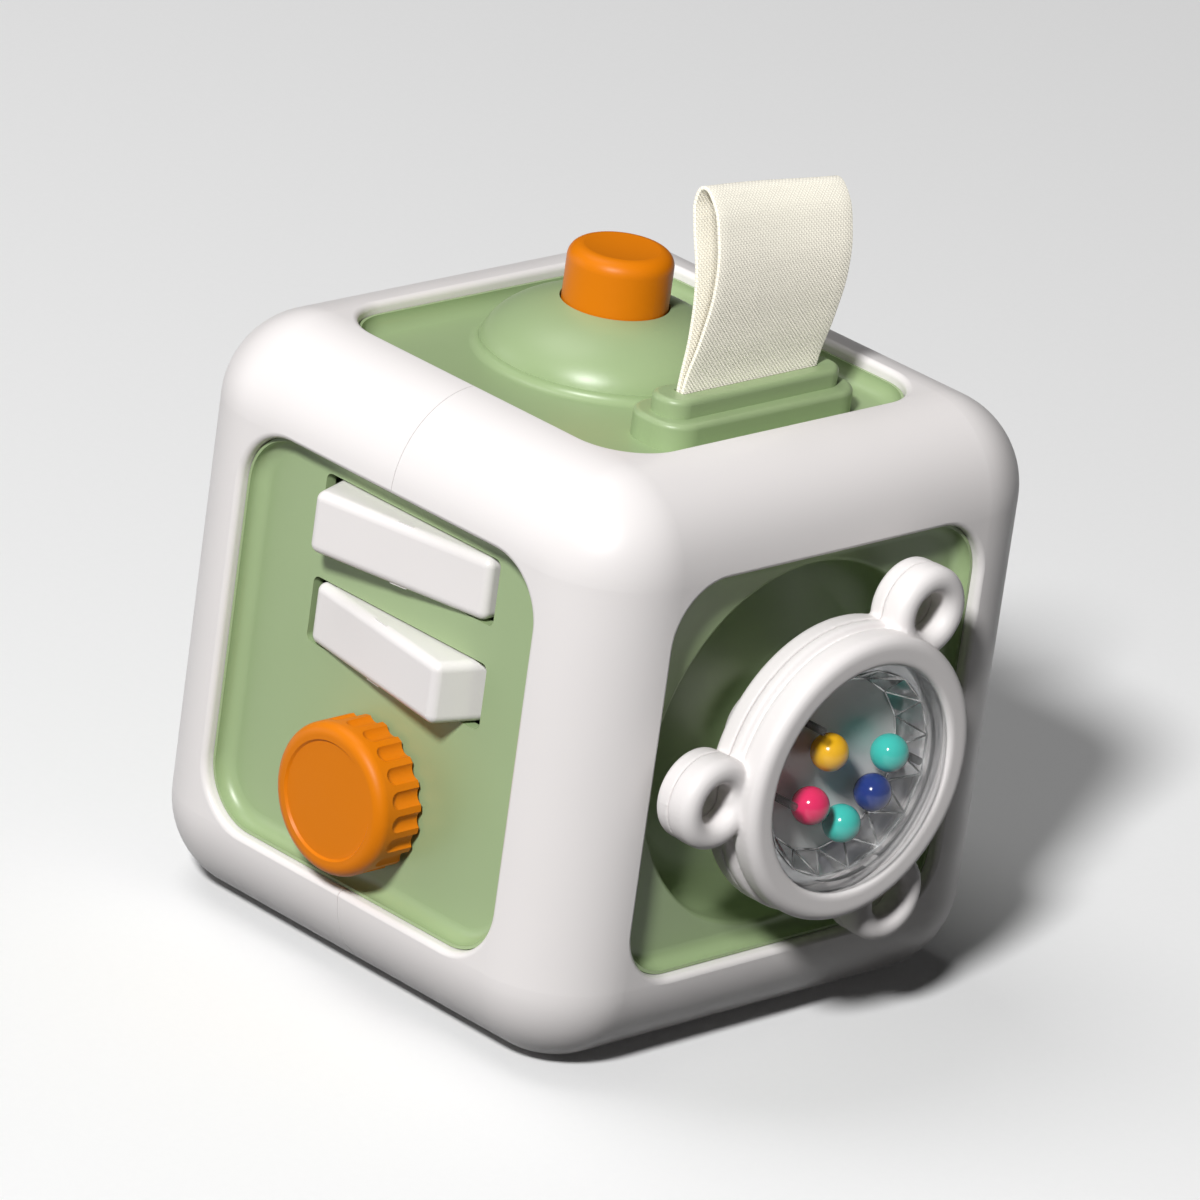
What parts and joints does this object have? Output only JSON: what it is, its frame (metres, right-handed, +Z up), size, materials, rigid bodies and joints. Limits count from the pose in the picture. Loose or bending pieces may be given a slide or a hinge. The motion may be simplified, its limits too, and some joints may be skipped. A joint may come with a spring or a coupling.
{
  "type": "baby activity cube",
  "caption": "Rounded cube toy for babies with a push button on a dome, see-saw keys, a clicking fluted knob, a bead rattle spinner with ears and a ribbon tag.",
  "frame": {"origin": "centre of the flat base panel's outer face, on the surface the cube stands on", "axes": "+Z up through the push-button face, -Y is the face with the keys and the knob, +X is the face with the spinner"},
  "size_m": [0.114, 0.103, 0.1347],
  "materials": {
    "white_plastic": "satin",
    "green_plastic": "satin",
    "orange_plastic": "soft gloss",
    "inner_plastic": "matt",
    "clear_plastic": "polished",
    "grey_disc": "satin",
    "steel": "plain",
    "spring_steel": "plain",
    "cotton_tape": "plain weave",
    "yellow_bead": "gloss",
    "pink_bead": "gloss",
    "teal_bead": "gloss",
    "blue_bead": "gloss"
  },
  "bodies": {
    "body": {"frame_left": "white_plastic", "frame_right": "white_plastic", "top_panel": "green_plastic", "front_panel": "green_plastic", "right_panel": "green_plastic", "back_panel": "green_plastic", "left_panel": "green_plastic", "base_panel": "white_plastic", "base_screws": "steel", "button_guide": "inner_plastic", "guide_screws": "steel", "button_spring": "spring_steel", "ribbon_loop": "cotton_tape", "ribbon_bar": "inner_plastic", "key_pin": "steel", "click_spring": "spring_steel", "spinner_axle": "steel"},
    "button": {"push_button": "orange_plastic"},
    "upper_key": {"key_upper": "white_plastic"},
    "lower_key": {"key_lower": "white_plastic"},
    "knob": {"knob": "orange_plastic", "click_wheel": "inner_plastic", "knob_screw": "steel"},
    "spinner": {"spinner_front": "white_plastic", "spinner_rear": "white_plastic", "spinner_window": "clear_plastic", "facet_cup": "clear_plastic", "backing_disc": "grey_disc"},
    "beads": {"bead_yellow": "yellow_bead", "bead_pink": "pink_bead", "bead_teal_low": "teal_bead", "bead_blue": "blue_bead", "bead_teal_side": "teal_bead"}
  },
  "joints": [
    {"name": "button_press", "type": "slide", "parent": "body", "child": "button", "axis": [0, 0, -1], "range_m": [0, 0.004], "stiffness_N_per_m": 300, "springref_m": -0.003, "deforming": ["button_spring"]},
    {"name": "upper_key_tilt", "type": "hinge", "parent": "body", "child": "upper_key", "pos_m": [0.0013, -0.0394, 0.0731], "axis": [0, 0, 1], "range_deg": [-19, 0]},
    {"name": "lower_key_tilt", "type": "hinge", "parent": "body", "child": "lower_key", "pos_m": [0.0013, -0.0394, 0.0558], "axis": [0, 0, 1], "range_deg": [0, 19]},
    {"name": "knob_turn", "type": "hinge", "parent": "body", "child": "knob", "pos_m": [-0.0002, -0.0446, 0.032], "axis": [0, -1, 0], "continuous": true},
    {"name": "spinner_turn", "type": "hinge", "parent": "body", "child": "spinner", "pos_m": [0.0506, 0, 0.049], "axis": [1, 0, 0], "continuous": true},
    {"name": "beads_roll", "type": "hinge", "parent": "spinner", "child": "beads", "pos_m": [0.057, 0, 0.049], "axis": [1, 0, 0], "continuous": true}
  ]
}
